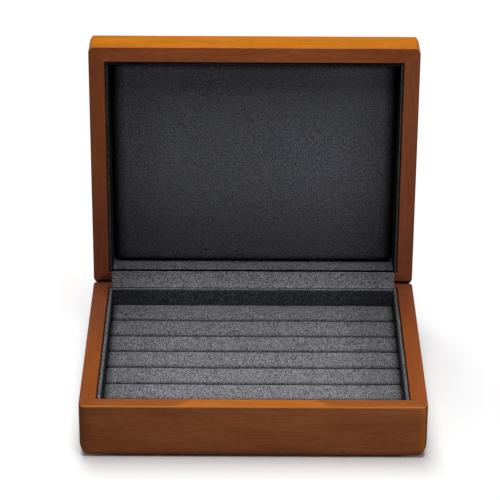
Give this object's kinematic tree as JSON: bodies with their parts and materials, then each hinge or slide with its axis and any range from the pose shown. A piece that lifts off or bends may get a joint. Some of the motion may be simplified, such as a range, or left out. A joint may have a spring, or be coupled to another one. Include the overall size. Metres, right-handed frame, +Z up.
{
  "type": "ring box",
  "caption": "Low wooden ring box with rounded corners, padded rolls for rings in the base and a padded hinged lid that stands open.",
  "frame": {"origin": "on the table under the middle of the closed base", "axes": "+X to the right along the hinge, +Y to the rear, +Z up, with the lid standing open"},
  "size_m": [0.25, 0.2247, 0.2384],
  "materials": {
    "wood": "red-brown hardwood with a satin lacquer",
    "suede": "mid grey suede cloth with a short mottled pile",
    "card": "plain grey board",
    "brass": "plain satin brass"
  },
  "bodies": {
    "base": {"base_front_wall": "wood", "base_rear_wall": "wood", "base_left_wall": "wood", "base_right_wall": "wood", "base_floor": "wood", "base_rear_lining": "suede", "base_left_lining": "suede", "base_right_lining": "suede", "roll_card": "card", "ring_roll_1": "suede", "ring_roll_2": "suede", "ring_roll_3": "suede", "ring_roll_4": "suede", "ring_roll_5": "suede", "ring_roll_6": "suede", "ring_roll_7": "suede", "hinge_strip_base_half": "suede", "left_hinge_base_leaf": "brass", "left_hinge_base_screw_1": "brass", "left_hinge_base_screw_2": "brass", "left_hinge_pin": "brass", "right_hinge_base_leaf": "brass", "right_hinge_base_screw_1": "brass", "right_hinge_base_screw_2": "brass", "right_hinge_pin": "brass"},
    "lid": {"lid_front_wall": "wood", "lid_rear_wall": "wood", "lid_left_wall": "wood", "lid_right_wall": "wood", "lid_top": "wood", "lid_front_lining": "suede", "lid_rear_lining": "suede", "lid_left_lining": "suede", "lid_right_lining": "suede", "lid_pad": "suede", "hinge_strip_lid_half": "suede", "left_hinge_lid_leaf": "brass", "left_hinge_lid_screw_1": "brass", "left_hinge_lid_screw_2": "brass", "right_hinge_lid_leaf": "brass", "right_hinge_lid_screw_1": "brass", "right_hinge_lid_screw_2": "brass"}
  },
  "joints": [
    {"name": "lid_hinge", "type": "hinge", "parent": "base", "child": "lid", "pos_m": [0, 0.0977, 0.0414], "axis": [1, 0, 0], "range_deg": [0, 90]}
  ]
}
